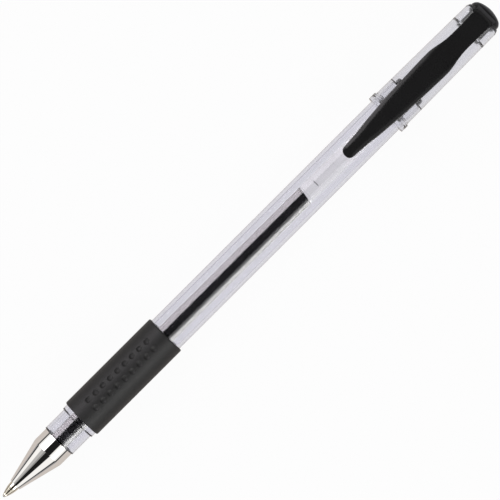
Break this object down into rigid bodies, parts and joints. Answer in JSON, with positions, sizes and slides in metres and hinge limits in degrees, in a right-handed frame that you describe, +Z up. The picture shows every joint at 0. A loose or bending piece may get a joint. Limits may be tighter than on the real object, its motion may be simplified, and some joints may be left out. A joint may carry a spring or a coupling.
{
  "type": "gel pen",
  "caption": "Slim gel pen lying with its cap posted: clear barrel, dimpled rubber grip, screwed metal nose cone, gel refill, clear cap with black plug and pocket clip.",
  "frame": {"origin": "on the table under the middle of the pen's length, as the pen lies with its cap posted", "axes": "+X along the pen towards the cap's end, so the writing ball is at -X; +Z up, the way the clip faces; +Y completes the right hand"},
  "size_m": [0.167, 0.0114, 0.0133],
  "materials": {
    "clear_barrel": "gloss",
    "clear_cap": "gloss",
    "grip_rubber": "matte",
    "nose_chrome": "polished",
    "point_metal": "satin",
    "ball_carbide": "polished",
    "adapter_plastic": "satin",
    "tube_plastic": "satin",
    "black_ink": "gloss",
    "follower_gel": "gloss",
    "float_plastic": "satin",
    "black_plastic": "satin"
  },
  "bodies": {
    "barrel_body": {"barrel": "clear_barrel", "grip": "grip_rubber", "tail_plug": "black_plastic"},
    "refill_body": {"tip_socket": "point_metal", "tip_adapter": "adapter_plastic", "ink_tube": "tube_plastic", "ink": "black_ink", "follower_grease": "follower_gel", "follower_float": "float_plastic"},
    "nose_body": {"nose_cone": "nose_chrome"},
    "ball_body": {"ball": "ball_carbide"},
    "cap_body": {"cap_shell": "clear_cap", "end_plug": "black_plastic"},
    "clip_body": {"clip": "black_plastic"}
  },
  "joints": [
    {"name": "refill_slide", "type": "slide", "parent": "barrel_body", "child": "refill_body", "axis": [-1, 0, 0], "range_m": [0, 0.0045]},
    {"name": "nose_turn", "type": "hinge", "parent": "refill_body", "child": "nose_body", "pos_m": [-0.06653, 0, 0.00567], "axis": [-1, 0, 0], "range_deg": [0, 1082]},
    {"name": "ball_spin", "type": "hinge", "parent": "refill_body", "child": "ball_body", "pos_m": [-0.08317, 0, 0.00567], "axis": [0, 1, 0], "continuous": true},
    {"name": "cap_slide", "type": "slide", "parent": "barrel_body", "child": "cap_body", "axis": [1, 0, 0], "range_m": [0, 0.04]},
    {"name": "clip_flex", "type": "hinge", "parent": "cap_body", "child": "clip_body", "pos_m": [0.07973, 0, 0.01218], "axis": [0, 1, 0], "range_deg": [0, 4.5], "stiffness_Nm_per_rad": 2}
  ],
  "couplings": [
    {"joint": "nose_turn", "follows": "refill_slide", "rad_per_m": 4188.8}
  ]
}
